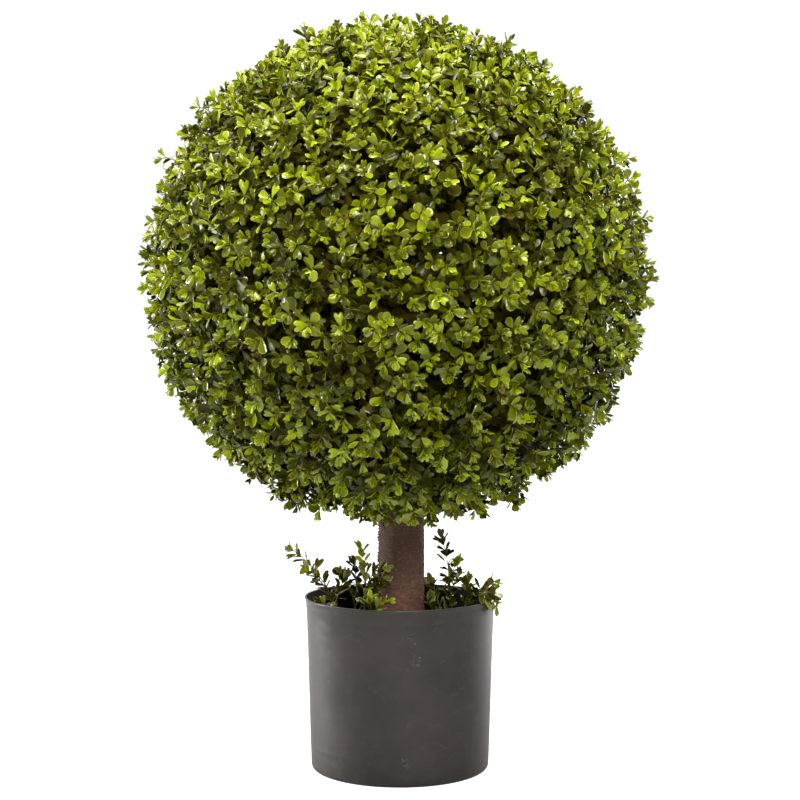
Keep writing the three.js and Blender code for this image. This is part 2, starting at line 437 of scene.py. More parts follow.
def twig_tree():
    """Turns chains of edges into round twigs as thick as their points say."""
    tree = Tree("twigs_from_edges", Thickness="number", Sides="count", Material="material")
    given = tree.given
    curves = tree.node("GeometryNodeMeshToCurve", None, {"Mesh": given["Geometry"]})
    radius = tree.times(tree.attribute("thickness"), given["Thickness"])
    inputs = {"Resolution": given["Sides"], "Radius": 1.0}
    section = tree.node("GeometryNodeCurvePrimitiveCircle", None, inputs)
    inputs = {"Curve": curves, "Profile Curve": section, "Scale": radius, "Fill Caps": True}
    tubes = tree.node("GeometryNodeCurveToMesh", None, inputs)
    return tree.finish(tree.realized(tubes, given["Material"]))


def scatter_tree(leaf):
    """Scatters one simple leaf over the base mesh, facing outwards and then tilted at random."""
    tree = Tree(
        "leaves_over_surface",
        Density="number",
        Leaf_Length="number",
        Tilt="number",
        Seed="count",
        Blade="material",
    )
    given = tree.given
    inputs = {"Mesh": given["Geometry"], "Density": given["Density"], "Seed": given["Seed"]}
    points = tree.node("GeometryNodeDistributePointsOnFaces", None, inputs)
    tilts = [tree.random(tree.times(given["Tilt"], -1.0), given["Tilt"], seed) for seed in (1, 2)]
    inputs = {"X": tilts[0], "Y": tilts[1], "Z": tree.random(0.0, TAU, 3)}
    turn = tree.node("ShaderNodeCombineXYZ", None, inputs)
    settings = {"rotation_space": "LOCAL"}
    inputs = {"Rotation": points.node.outputs["Rotation"], "Rotate By": turn}
    rotation = tree.node("FunctionNodeRotateRotation", settings, inputs)
    shape = tree.node("GeometryNodeObjectInfo", None, {"Object": leaf}, "Geometry")
    inputs = {
        "Points": points,
        "Instance": shape,
        "Rotation": rotation,
        "Scale": tree.times(given["Leaf Length"], tree.random(0.75, 1.2, 4)),
    }
    leaves = tree.node("GeometryNodeInstanceOnPoints", None, inputs)
    return tree.finish(tree.realized(leaves, given["Blade"]))


def new_object(name, data):
    """An object in the scene."""
    made = bpy.data.objects.new(name, data)
    bpy.context.scene.collection.objects.link(made)
    return made


def grown(name, base, group, sizes):
    """The plain mesh that a Geometry Nodes tree makes from a base mesh."""
    maker = new_object(name, base)
    modifier = maker.modifiers.new(group.name, "NODES")
    modifier.node_group = group
    for item in group.interface.items_tree:
        if item.in_out == "INPUT" and item.name in sizes:
            modifier[item.identifier] = sizes[item.name]
    graph = bpy.context.evaluated_depsgraph_get()
    graph.update()
    mesh = bpy.data.meshes.new_from_object(maker.evaluated_get(graph), depsgraph=graph)
    mesh.name = name
    maker.modifiers.clear()
    bpy.data.objects.remove(maker)
    return mesh


# ---- pieces ----
def add_piece(name, mesh, slot, *nodes):
    piece = new_object(name, mesh)
    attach(piece, "root")
    if nodes:
        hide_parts(*nodes)
    return piece


def mesh_from(name, points, faces, material=None, smooth=True):
    mesh = bpy.data.meshes.new(name)
    mesh.from_pydata([tuple(p) for p in points], [], faces)
    if material:
        mesh.materials.append(material)
    mesh.polygons.foreach_set("use_smooth", [smooth] * len(mesh.polygons))
    mesh.update()
    return mesh


def ring_mesh(name, rings, material):
    """A closed skin over rings of points, each listed once round, with a point closing each end."""
    rings = np.asarray(rings)
    rows, columns = rings.shape[:2]
    points = list(rings.reshape(-1, 3)) + [rings[0].mean(0), rings[-1].mean(0)]
    first, last = rows * columns, rows * columns + 1
    faces = []
    for row in range(rows - 1):
        for column in range(columns):
            a = row * columns + column
            b = row * columns + (column + 1) % columns
            faces.append((a, b, b + columns, a + columns))
    for column in range(columns):
        after = (column + 1) % columns
        faces.append((first, after, column))
        faces.append((last, (rows - 1) * columns + column, (rows - 1) * columns + after))
    return mesh_from(name, points, faces, material)


# ---- leaves ----
# Half of each outline, from stalk to tip: shares of the half width and of the length.
HEART = ((0.08, 0.0), (0.36, 0.28), (0.82, 0.56), (1.0, 0.80), (0.80, 0.96), (0.44, 1.0), (0.0, 0.82))
ROUND = ((0.08, 0.0), (0.42, 0.24), (0.90, 0.50), (1.0, 0.73), (0.64, 0.94), (0.0, 1.0))
OVAL = ((0.10, 0.0), (0.60, 0.22), (1.0, 0.48), (0.94, 0.70), (0.56, 0.90), (0.0, 1.0))

# For each form: its outline, whether it is domed (or else has a pale margin), its half width, how far
# its halves swell, how far its edge lifts and how far its tip bends down, all as shares of its length.
LEAF_FORMS = (
    (HEART, True, 0.345, 0.105, -0.04, 0.12),
    (HEART, False, 0.31, 0.080, 0.05, 0.04),
    (HEART, True, 0.33, 0.100, -0.09, 0.26),
    (ROUND, False, 0.33, -0.01, 0.15, -0.06),
    (ROUND, True, 0.34, 0.090, 0.02, 0.10),
    (OVAL, False, 0.25, 0.045, 0.06, -0.06),
)
OPEN_FORMS = (0, 0, 1, 2, 3, 3, 4, 5)  # which of them a leaf may take, the common ones listed twice
TIP_FORMS = (1, 5, 5)  # the same for the pair at a twig's tip
PLAIN_FORM = len(LEAF_FORMS)
MARGIN = 0.055  # width of the pale margin, as a share of the length
SHOULDER = 0.15  # how far in from its edge a domed leaf is highest, as a share of the length


def leaf_form(name, outline, domed, half_width, swell, lift, bend):
    """A leaf one unit long, from its stalk at the origin along +Y, with its upper face to +Z."""
    widest = 0.6  # share of the half width that the margin or shoulder may take
    rib_lag = 0.94  # how far out the midrib's points lie, as a share of the margin's
    rib_step = 0.05  # least distance between the midrib's points near the tip
    tip_swell = 0.4  # share of the swell that is left at the tip
    edge = [Vector((x * half_width, y, 0)) for x, y in outline]
    last = len(edge) - 1
    inner = []
    for i in range(1, last + 1):
        ahead = edge[min(i + 1, last)] if i < last else Vector((-edge[last - 1].x, edge[last - 1].y, 0))
        along = (ahead - edge[i - 1]).normalized()
        width = SHOULDER if domed else MARGIN
        if i < last:
            width = min(width, widest * edge[i].x)
        inner.append(edge[i] + Vector((-along.y, along.x, 0)) * width)
    inner[-1].x = 0
    below_tip = [inner[-1].y - rib_step * (last - 1 - i) for i in range(last - 1)]
    midrib = [Vector((0, min(inner[i].y * rib_lag, below_tip[i]), 0)) for i in range(last - 1)]
    points, margin_faces, blade_faces = [], [], []

    def shaped(point, raised):
        share = abs(point.x) / half_width
        return (point.x, point.y, raised * swell + lift * share**2 - bend * point.y**2)

    points.append((0, 0, 0))
    points += [shaped(p, 0) for p in midrib]
    tip_inner = len(points)
    points.append(shaped(inner[-1], tip_swell))
    tip = len(points)
    points.append(shaped(edge[-1], 0))
    for side in (1, -1):
        first = len(points)
        mirror = Vector((side, 1, 1))
        points += [shaped(p * mirror, 1) for p in inner[:-1]]
        points += [shaped(p * mirror, 0) for p in edge[1:-1]]
        count = last - 1
        rib = [1 + i for i in range(count)]
        ins = [first + i for i in range(count)]
        outs = [first + count + i for i in range(count)]
        new_blade = [(0, ins[0], rib[0])]
        new_blade += [(rib[i], ins[i], ins[i + 1], rib[i + 1]) for i in range(count - 1)]
        new_blade.append((rib[-1], ins[-1], tip_inner))
        new_margin = [(0, outs[0], ins[0])]
        new_margin += [(ins[i], outs[i], outs[i + 1], ins[i + 1]) for i in range(count - 1)]
        new_margin.append((ins[-1], outs[-1], tip, tip_inner))
        if side < 0:
            new_blade = [face[::-1] for face in new_blade]
            new_margin = [face[::-1] for face in new_margin]
        blade_faces += new_blade
        margin_faces += new_margin
    mesh = mesh_from(name, points, blade_faces + margin_faces)
    flags = [False] * len(blade_faces) + [not domed] * len(margin_faces)
    mesh.attributes.new("margin", "BOOLEAN", "FACE").data.foreach_set("value", flags)
    return mesh


def plain_leaf(name, outline, half_width):
    """A leaf of a few triangles round its middle, for the depths of the foliage."""
    half = [(x * half_width, y) for x, y in outline[1:]]
    edge = [(0, 0)] + half + [(-x, y) for x, y in half[-2::-1]]
    points = [(x, y, 0.2 * abs(x)) for x, y in edge] + [(0, 0.55, -0.03)]
    count = len(edge)
    return mesh_from(name, points, [(i, (i + 1) % count, count) for i in range(count)])


def leaf_form_collection():
    """The detailed forms in order, then the plain one."""
    forms = bpy.data.collections.new("leaf_forms")
    meshes = [leaf_form(f"leaf_form_{index}", *form) for index, form in enumerate(LEAF_FORMS)]
    meshes.append(plain_leaf(f"leaf_form_{PLAIN_FORM}", HEART, 0.36))
    for mesh in meshes:
        forms.objects.link(bpy.data.objects.new(mesh.name, mesh))
    return forms


class Foliage:
    """The leaves and twigs of one mass, gathered as it grows and then made into pieces."""

    def __init__(self):
        self.leaves = {tint: [] for tint in TINTS}
        self.twigs = []

    def add_leaf(self, tint, point, along, upper, size, form):
        across = along.cross(upper).normalized()
        upper = across.cross(along).normalized()
        turn = Matrix((across, along, upper)).transposed().to_quaternion()
        self.leaves[tint].append((point, turn, size, form))

    def add_twig(self, points, thick, thin):
        self.twigs.append((points, thick, thin))


def leaf_points(name, leaves):
    mesh = bpy.data.meshes.new(name)
    mesh.from_pydata([tuple(point) for point, _, _, _ in leaves], [], [])
    attributes = mesh.attributes
    parts = [part for _, turn, _, _ in leaves for part in turn]
    attributes.new("turn", "QUATERNION", "POINT").data.foreach_set("value", parts)
    attributes.new("size", "FLOAT", "POINT").data.foreach_set("value", [leaf[2] for leaf in leaves])
    attributes.new("form", "INT", "POINT").data.foreach_set("value", [leaf[3] for leaf in leaves])
    return mesh


def twig_edges(name, twigs):
    points, edges, thickness = [], [], []
    for chain, thick, thin in twigs:
        first = len(points)
        points += [tuple(p) for p in chain]
        edges += [(first + i, first + i + 1) for i in range(len(chain) - 1)]
        thickness += [thick + (thin - thick) * i / (len(chain) - 1) for i in range(len(chain))]
    mesh = bpy.data.meshes.new(name)
    mesh.from_pydata(points, edges, [])
    mesh.attributes.new("thickness", "FLOAT", "POINT").data.foreach_set("value", thickness)
    return mesh


class Grower:
    """What every mass of foliage is made with: the trees, the leaf forms and the materials."""

    def __init__(self):
        self.leaf_tree = leaf_tree()
        self.twig_tree = twig_tree()
        self.forms = leaf_form_collection()
        self.blades = {}
        self.margins = {}
        for tint, (blade, margin, gloss) in TINTS.items():
            self.blades[tint] = moulded_leaf(f"{tint}_leaf", blade, 0.23, gloss)
            self.margins[tint] = moulded_leaf(f"{tint}_margin", margin, 0.32, gloss)
        self.depth_leaf = moulded_leaf("depth_leaf", PAINTED_SHADE_TINT, 0.8, 0.05)
        self.stem = moulded_leaf("olive_stem", (84, 80, 16), 0.6, 0.2)

    def pieces(self, prefix, foliage, nodes):
        """Makes a mass's pieces. Each stands for the CAD nodes of the mass."""
        for seed, (tint, leaves) in enumerate(foliage.leaves.items()):
            for start in range(0, len(leaves), LEAVES_PER_PIECE):
                name = f"{prefix}_{tint}_leaves"
                if len(leaves) > LEAVES_PER_PIECE:
                    name += f"_{start // LEAVES_PER_PIECE + 1}"
                sizes = {
                    "Leaf Forms": self.forms,
                    "Leaf Length": LEAF_LENGTH,
                    "Size Spread": 0.12,
                    "Seed": seed,
                    "Blade": self.blades[tint],
                    "Margin": self.margins[tint],
                }
                base = leaf_points(name, leaves[start : start + LEAVES_PER_PIECE])
                add_piece(name, grown(name, base, self.leaf_tree, sizes), "foliage", *nodes)
        name = f"{prefix}_twigs"
        sizes = {"Thickness": 1.0, "Sides": 3, "Material": self.stem}
        twigs = grown(name, twig_edges(name, foliage.twigs), self.twig_tree, sizes)
        add_piece(name, twigs, "foliage", *nodes)


# ---- growing ----
def bezier(start, control, end, steps):
    chain = []
    for step in range(steps + 1):
        t = step / steps
        chain.append(start * (1 - t) ** 2 + control * 2 * t * (1 - t) + end * t**2)
    return chain


def back_from_tip(chain, distance):
    """The point this far back from a chain's tip, and the chain's direction there."""
    for i in range(len(chain) - 1, 0, -1):
        step = chain[i] - chain[i - 1]
        if distance <= step.length:
            return chain[i] - step.normalized() * distance, step.normalized()
        distance -= step.length
    return chain[0], (chain[1] - chain[0]).normalized()


def sideways(direction, angle):
    """A unit vector square to a direction, at an angle round it."""
    start = direction.cross(UP if abs(direction.z) < 0.9 else Vector((1, 0, 0))).normalized()
    return Quaternion(direction, angle) @ start


class Habit:
    """How leaves stand on a twig: their tints, pairs of them, their droop, and their size and spacing."""

    def __init__(self, tints, pairs, droop, young, full, spread, gap, plain):
        self.tints = tints  # from the freshest to the deepest
        self.pairs = pairs
        self.droop = droop  # how strongly leaves bend towards the ground
        self.young = young  # size of the pair at the tip
        self.full = full  # size of the pairs further down
        self.spread = spread  # degrees that the lower pairs open to
        self.gap = gap  # between pairs far from the tip
        self.plain = plain  # whether the hidden pairs take the plain form


def grow_sprig(foliage, chain, tint, rng, habit):
    """Leaves in crossed pairs down a twig: small and half closed at the tip, wide open further down."""
    foliage.add_twig(chain, *TWIG_ENDS)
    turn = rng.uniform(0, TAU)
    distance = FIRST_PAIR
    for pair in range(habit.pairs):
        point, along = back_from_tip(chain, distance)
        size = min(habit.full, habit.young + PAIR_GROWTH * pair)
        opening = math.radians(habit.spread - (habit.spread - TIP_OPENING) * math.exp(-pair / OPENING_PAIRS))
        for half_turn in (0, math.pi):
            out = sideways(along, turn + half_turn + rng.gauss(0, ROUND_JITTER))
            open_angle = opening + rng.gauss(0, OPEN_JITTER)
            leaf_along = along * math.cos(open_angle) + out * math.sin(open_angle)
            upper = along * math.sin(open_angle) - out * math.cos(open_angle)
            upper = Quaternion(leaf_along, rng.gauss(0, ROLL_JITTER)) @ upper
            leaf_along = (leaf_along - UP * habit.droop * rng.uniform(*DROOP_RANGE)).normalized()
            # Leaves further back from the tip take darker tints. This is partly their own older tone and
            # partly painted shade among the leaves.
            age_and_shade_steps = (pair >= 1) * (rng.random() < 0.5) + (pair >= 3) + (pair >= 5)
            index = tint + age_and_shade_steps + rng.choice(TINT_STEPS)
            name = habit.tints[max(0, min(len(habit.tints) - 1, index))]
            if rng.random() < RUSSET_SHARE:
                name = "russet"
            form = rng.choice(OPEN_FORMS) if pair else rng.choice(TIP_FORMS)
            if pair >= DETAILED_PAIRS and habit.plain:
                form = PLAIN_FORM
            foliage.add_leaf(name, point, leaf_along, upper, size * rng.uniform(*SIZE_RANGE), form)
        turn += math.pi / 2 + rng.gauss(0, CROSS_JITTER)
        distance += min(habit.gap, CLOSEST_GAP + (habit.gap - CLOSEST_GAP) * pair / CLOSE_PAIRS)


def spread_directions(count, jitter, rng):
    """Directions spread evenly over a sphere by the golden angle, each moved a little."""
    golden = math.pi * (3 - math.sqrt(5))
    spacing = math.sqrt(4 * math.pi / count)
    for i in range(count):
        z = 1 - 2 * (i + 0.5) / count
        ring = math.sqrt(1 - z * z)
        direction = Vector((ring * math.cos(i * golden), ring * math.sin(i * golden), z))
        shift = sideways(direction, rng.uniform(0, TAU)) * spacing * jitter * rng.random()
        yield (direction + shift).normalized()


def clear_of_trunk(point, gap):
    """The point moved out sideways, if it has to be, to stand clear of the trunk."""
    away = Vector((point.x - TRUNK_AXIS.x, point.y - TRUNK_AXIS.y, 0))
    if point.z > BALL_CENTRE.z or away.length >= TRUNK_RADIUS + gap:
        return point
    away = away.normalized() * (TRUNK_RADIUS + gap)
    return Vector((TRUNK_AXIS.x + away.x, TRUNK_AXIS.y + away.y, point.z))


def sprig_tint_painted_light(height, rng):
    """A sprig's tint: lighter towards the top of the ball as painted light, darker below as painted shade.
    Height runs from -1 to 1.
    """
    lift = 0.5 + 0.5 * height
    # Painted light: fresher tints are likelier high up, and darker ones low down.
    weights = (0.12 + 0.25 * lift, 0.31 + 0.10 * lift, 0.34 - 0.12 * lift, 0.23 - 0.20 * lift)
    return rng.choices((0, 1, 2, 3), weights)[0]


def grow_ball():
    """Stems stand out of the lattice and fork into twigs that end at the clipped outline."""
    rng = random.Random(11)
    foliage = Foliage()
    sizes = {"droop": 0.12, "young": 0.62, "full": 1.0, "spread": 78, "gap": 6.2 * MM}
    habit = Habit(BALL_TINTS, PAIRS_PER_SPRIG, plain=True, **sizes)
    forks = KDTree(TUFT_COUNT)
    for index, direction in enumerate(spread_directions(TUFT_COUNT, 0.3, rng)):
        root = clear_of_trunk(BALL_CENTRE + direction * LATTICE_RADIUS, 2 * MM)
        lean = sideways(direction, rng.uniform(0, TAU)) * rng.uniform(0, 7) * MM
        fork = clear_of_trunk(BALL_CENTRE + direction * (FORK_RADIUS + rng.gauss(0, 5) * MM) + lean, 4 * MM)
        foliage.add_twig([root, (root + fork) / 2 + lean * 0.4, fork], *STEM_ENDS)
        forks.insert(fork, index)
    forks.balance()
    for facing in spread_directions(SPRIG_COUNT, 0.5, rng):
        height = TIP_RADIUS + rng.gauss(0, TIP_SCATTER) * MM
        if rng.random() < STRAY_SHARE:
            height += rng.uniform(*STRAY_REACH) * MM
        height -= UNDERSIDE_TRIM * max(0, -facing.z - 0.9) / 0.1
        tip = clear_of_trunk(BALL_CENTRE + facing * height, 5 * MM)
        fork = forks.find(tip)[0]
        tilt = sideways(facing, rng.uniform(0, TAU)) * math.tan(abs(rng.gauss(0, 0.42)))
        end = (facing + tilt - UP * 0.22 * max(0, 0.5 - facing.z)).normalized()
        chain = bezier(fork, tip - end * 20 * MM, tip, 5)
        grow_sprig(foliage, chain, sprig_tint_painted_light(facing.z, rng), rng, habit)
    return foliage


# ---- the parts ----
def shell_mesh(name, radius, divisions):
    """A sphere about the ball's centre, left open where the trunk enters it from below."""
    shell = bmesh.new()
    centred = Matrix.Translation(BALL_CENTRE)
    bmesh.ops.create_icosphere(shell, subdivisions=divisions, radius=radius, matrix=centred)
    entry = TRUNK_RADIUS + 4 * MM
    cut = [v for v in shell.verts if v.co.z < BALL_CENTRE.z and (v.co - TRUNK_AXIS).xy.length < entry]
    bmesh.ops.delete(shell, geom=cut, context="VERTS")
    mesh = bpy.data.meshes.new(name)
    shell.to_mesh(mesh)
    shell.free()
    return mesh


def build_ball(grower):
    nodes = ["foliage_ball"]
    grower.pieces("ball", grow_ball(), nodes)

    scatter = scatter_tree(grower.forms.objects[f"leaf_form_{PLAIN_FORM}"])
    # Layers of dark leaves inside the ball, coloured as painted shade.
    for layer, (depth, count) in enumerate(INNER_LAYERS, start=1):
        radius = BALL_RADIUS - depth
        sizes = {
            "Density": count / (2 * TAU * radius**2),
            "Leaf Length": INNER_LEAF_LENGTH,
            "Tilt": 0.75,
            "Seed": layer,
            "Blade": grower.depth_leaf,
        }
        name = f"ball_inner_leaves_{layer}"
        add_piece(name, grown(name, shell_mesh(name, radius, 4), scatter, sizes), "foliage", *nodes)

    lattice = shell_mesh("ball_lattice", LATTICE_RADIUS, 4)
    thickness = lattice.attributes.new("thickness", "FLOAT", "POINT").data
    thickness.foreach_set("value", [1.0] * len(lattice.vertices))
    sizes = {"Thickness": 1.5 * MM, "Sides": 4, "Material": grower.stem}
    add_piece("ball_lattice", grown("ball_lattice", lattice, grower.twig_tree, sizes), "foliage", *nodes)


def in_box(node, shares):
    """The point at these shares of the way across a node's box."""
    low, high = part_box(node)
    return Vector([low[i] + (high[i] - low[i]) * shares[i] for i in range(3)])


# Each sprig in the pot as shoots: a tint, then points from foot to tip as shares of the way across
# the CAD node's box.
POT_SPRIGS = {
    "left_leaning": (
        (1, (0.84, 0.5, 0.0), (0.86, 0.5, 0.55), (0.20, 0.35, 0.90)),
        (2, (0.80, 0.5, 0.35), (0.62, 0.2, 0.60), (0.42, 0.1, 0.70)),
        (3, (0.82, 0.5, 0.30), (0.90, 0.6, 0.50), (0.96, 0.8, 0.58)),
        (2, (0.84, 0.5, 0.15), (0.70, 0.1, 0.30), (0.62, 0.0, 0.36)),
    ),
    "left_upright": (
        (0, (0.30, 0.5, 0.0), (0.70, 0.5, 0.55), (0.36, 0.5, 0.92)),
        (3, (0.55, 0.5, 0.52), (0.75, 0.3, 0.76), (1.15, 0.0, 0.74)),
        (3, (0.52, 0.5, 0.48), (0.85, 0.3, 0.64), (1.10, 0.1, 0.64)),
        (3, (0.42, 0.5, 0.25), (0.80, 0.6, 0.45), (0.95, 0.6, 0.54)),
        (3, (0.36, 0.5, 0.10), (0.55, 0.2, 0.30), (0.80, 0.1, 0.36)),
    ),
    "left_rear": (
        (3, (0.7, 0.5, 0.0), (0.6, 0.5, 0.5), (0.15, 0.4, 0.74)),
        (3, (0.65, 0.5, 0.3), (0.7, 0.5, 0.65), (0.55, 0.3, 0.90)),
        (3, (0.68, 0.5, 0.2), (1.1, 0.4, 0.45), (1.30, 0.3, 0.68)),
    ),
    "left_low": (
        (0, (0.5, 0.5, 0.0), (0.42, 0.5, 0.45), (0.35, 0.5, 0.74)),
        (0, (0.44, 0.5, 0.4), (0.6, 0.4, 0.7), (0.92, 0.3, 0.72)),
        (0, (0.48, 0.5, 0.1), (0.5, 0.2, 0.35), (0.62, 0.0, 0.42)),
        (2, (0.46, 0.5, 0.1), (0.30, 0.3, 0.20), (0.10, 0.2, 0.26)),
    ),
    "right_upright": (
        (3, (0.40, 0.5, 0.0), (0.85, 0.5, 0.50), (0.42, 0.5, 0.95)),
        (0, (0.52, 0.5, 0.46), (0.72, 0.4, 0.60), (0.88, 0.2, 0.72)),
        (3, (0.50, 0.5, 0.30), (0.75, 0.3, 0.45), (0.92, 0.3, 0.58)),
        (3, (0.36, 0.5, 0.20), (0.20, 0.4, 0.42), (0.10, 0.3, 0.50)),
        (3, (0.38, 0.5, 0.05), (0.50, 0.1, 0.20), (0.62, 0.0, 0.28)),
        (3, (0.36, 0.5, 0.05), (0.10, 0.2, 0.20), (0.00, 0.1, 0.32)),
    ),
    "right_leaning": (
        (2, (0.12, 0.5, 0.0), (0.42, 0.5, 1.00), (0.74, 0.4, 0.76)),
        (3, (0.30, 0.5, 0.50), (0.36, 0.2, 0.84), (0.36, 0.1, 0.98)),
        (2, (0.42, 0.5, 0.68), (0.52, 0.0, 0.78), (0.60, -0.1, 0.68)),
        (2, (0.46, 0.5, 0.70), (0.64, 0.8, 0.96), (0.78, 0.9, 0.90)),
        (2, (0.50, 0.5, 0.72), (0.76, 0.2, 0.80), (0.78, 0.1, 0.54)),
    ),
}


BARE_FOOT = 30 * MM  # of each sprig's main shoot
PAIR_SPACING = 5.8 * MM  # along a shoot, to count its pairs of leaves by


def build_pot_sprigs(grower):
    sizes = {"droop": 0.03, "young": 0.74, "full": 0.92, "spread": 50, "gap": 6.4 * MM}
    for seed, (side, shoots) in enumerate(POT_SPRIGS.items()):
        rng = random.Random(60 + seed)
        node = f"pot_sprig_{side}"
        foliage = Foliage()
        for order, (tint, *shares) in enumerate(shoots):
            chain = bezier(*[in_box(node, share) for share in shares], 9)
            length = sum((b - a).length for a, b in zip(chain, chain[1:]))
            leafy = length - BARE_FOOT if order == 0 else length
            pairs = max(2, round(leafy / PAIR_SPACING) + 1)
            habit = Habit(POT_TINTS, pairs, plain=False, **sizes)
            grow_sprig(foliage, chain, tint, rng, habit)
        grower.pieces(f"{side}_sprig", foliage, [node])


def turns(count):
    """Angles at even steps all the way round."""
    return [TAU * i / count for i in range(count)]


def rows_between(start, *stretches):
    """Heights along a turned piece, from start up through stretches of (end, step between rows)."""
    heights = [start]
    for end, step in stretches:
        low = heights[-1]
        count = max(1, round((end - low) / step))
        heights += [low + (end - low) * (i + 1) / count for i in range(count)]
    return heights


def pole_relief(angle, z, knots):
    """How far the wrap stands out of the pole: soft ripples, and knots down its lapped edge."""
    around = Vector((math.cos(angle), math.sin(angle), 0)) * TRUNK_RADIUS
    ripple = noise.noise(Vector((around.x * 110, around.y * 110, z * 520)))
    weave = noise.noise(Vector((around.x * 520 + 7, around.y * 520, z * 640)))
    lumps = noise.noise(Vector((around.x * 60, around.y * 60, z * 60)))
    relief = (0.28 * ripple + 0.2 * weave + 0.2 * lumps) * MM
    off_seam = (angle - POLE_SEAM + math.pi) % TAU - math.pi
    if abs(off_seam) < math.radians(14):
        lap = max(0, 1 - abs(off_seam) / math.radians(9))
        relief += 0.25 * MM * lap
        for knot_angle, knot_z, knot_height in knots:
            across = (off_seam - knot_angle) * TRUNK_RADIUS
            relief += knot_height * math.exp(-(across**2 + (z - knot_z) ** 2) / KNOT_WIDTH**2)
    return relief


def build_trunk():
    """The pole with its wrap, finely modelled between the fill and the ball."""
    rng = random.Random(5)
    columns = 180
    bare_low, bare_high = FILL_HIGH.z - 4 * MM, BALL_LOW.z + 22 * MM
    knots = []
    knot_z = bare_low
    while knot_z < bare_high:
        knot_z += rng.uniform(*KNOT_GAPS) * MM
        knots.append((rng.gauss(0, 0.03), knot_z, rng.uniform(*KNOT_HEIGHTS) * MM))
    stretches = (bare_low, 12 * MM), (bare_high, 0.7 * MM), (TRUNK_HIGH.z, 20 * MM)
    rings = []
    for z in rows_between(TRUNK_LOW.z, *stretches):
        share = (z - TRUNK_LOW.z) / (TRUNK_HIGH.z - TRUNK_LOW.z)
        near_knots = [knot for knot in knots if abs(knot[1] - z) < 2 * MM]
        ring = []
        for angle in turns(columns):
            radius = TRUNK_RADIUS - (0.35 + 0.8 * share) * MM + pole_relief(angle, z, near_knots)
            ring.append((TRUNK_AXIS.x + math.cos(angle) * radius, TRUNK_AXIS.y + math.sin(angle) * radius, z))
        rings.append(ring)
    mesh = ring_mesh("wrapped_pole", rings, wrapped_pole_material())
    add_piece("wrapped_pole", mesh, "trunk_wrap", "trunk")


def pot_profile():
    """(radius, height) from the middle of the underside, up the outside, over the lip and down inside."""
    foot_radius = POT_RADIUS - 6 * MM
    body_top = POT_RADIUS - 1.4 * MM
    wall, floor, rounding, band = 1.6 * MM, 2.4 * MM, 4 * MM, 0.3 * MM
    band_foot, flare_foot = POT_HEIGHT - 13 * MM, POT_HEIGHT - 6 * MM
    faint_ring = 23 * MM  # height of a faint ring round the wall
    rib_rise, rib_count = 4 * MM, 4  # the fine rings inside, below the rim

    def body(z):
        return foot_radius + (body_top - foot_radius) * z / POT_HEIGHT

    profile = [(share * (foot_radius - rounding), 0) for share in (0.25, 0.6, 0.9, 1.0)]
    for step in range(1, 7):
        angle = step / 6 * math.pi / 2
        profile.append((foot_radius - rounding * (1 - math.sin(angle)), rounding * (1 - math.cos(angle))))
    for z in rows_between(rounding, (18 * MM, 5 * MM), (28 * MM, 1.5 * MM), (band_foot - 2 * MM, 7 * MM))[1:]:
        ridge = 0.12 * MM * math.exp(-(((z - faint_ring) / (2 * MM)) ** 2))
        profile.append((body(z) + ridge, z))
    profile.append((body(band_foot), band_foot))
    profile.append((body(band_foot) + band, band_foot + 2.5 * MM))
    profile.append((body(flare_foot) + band, flare_foot))
    lip = wall / 2
    for step in range(1, 4):
        share = step / 4
        z = flare_foot + (POT_HEIGHT - lip - flare_foot) * share
        start = body(flare_foot) + band
        profile.append((start + (POT_RADIUS - start) * share**2, z))
    for step in range(7):
        angle = step / 6 * math.pi
        profile.append((POT_RADIUS - lip + lip * math.cos(angle), POT_HEIGHT - lip + lip * math.sin(angle)))
    inside_top = flare_foot - 1 * MM
    profile.append((body(inside_top) - wall + 0.3 * MM, inside_top))
    for rib in range(rib_count):
        crest = inside_top - (rib + 0.5) * rib_rise
        for rise, depth in ((1.2, 0), (0.4, 0.45), (-0.4, 0.45), (-1.2, 0)):
            profile.append((body(crest) - wall - depth * MM, crest + rise * MM))
    profile.append((body(60 * MM) - wall, 60 * MM))
    profile.append((body(floor + rounding) - wall, floor + rounding))
    profile.append((foot_radius - wall - rounding, floor))
    profile.append(((foot_radius - wall) * 0.4, floor))
    return profile


def build_pot():
    """A thin moulded pot with a free rim slightly out of round. Its lip has its own material with a painted
    highlight, and its inside one with painted shade.
    """
    columns = 192
    profile = pot_profile()
    rings = []
    for radius, z in profile:
        free = (z / POT_HEIGHT) ** 2
        ring = []
        for angle in turns(columns):
            x, y = math.cos(angle), math.sin(angle)
            sway = 0.7 * math.sin(2 * angle + 0.6) + 0.35 * math.sin(3 * angle + 2.1)
            dents = noise.noise(Vector((x * 2.2, y * 2.2, z * 14)))
            wave = 0.9 * math.sin(angle - 2.6) + 0.5 * math.sin(2 * angle + 1.9) + 0.2 * math.sin(5 * angle)
            uneven = (sway * free + 0.25 * dents * min(1, z / (20 * MM))) * MM
            out = radius + uneven * min(1, radius / POT_RADIUS)
            ring.append((x * out, y * out, z + wave * free**3 * MM - 1.2 * MM * free**3))
        rings.append(ring)
    mesh = ring_mesh("moulded_pot", rings, pot_plastic_material())
    mesh.materials.append(pot_lip_material())
    mesh.materials.append(pot_inside_material())
    top = max(range(len(profile)), key=lambda row: profile[row][1])  # the lip's highest row
    lip, inside = range(top - 2, top + 3), range(top + 3, len(rings) - 1)
    rows = [face // columns for face in range(len(mesh.polygons))]
    mesh.polygons.foreach_set("material_index", [(row in lip) + 2 * (row in inside) for row in rows])
    add_piece("moulded_pot", mesh, "pot_plastic", "pot")


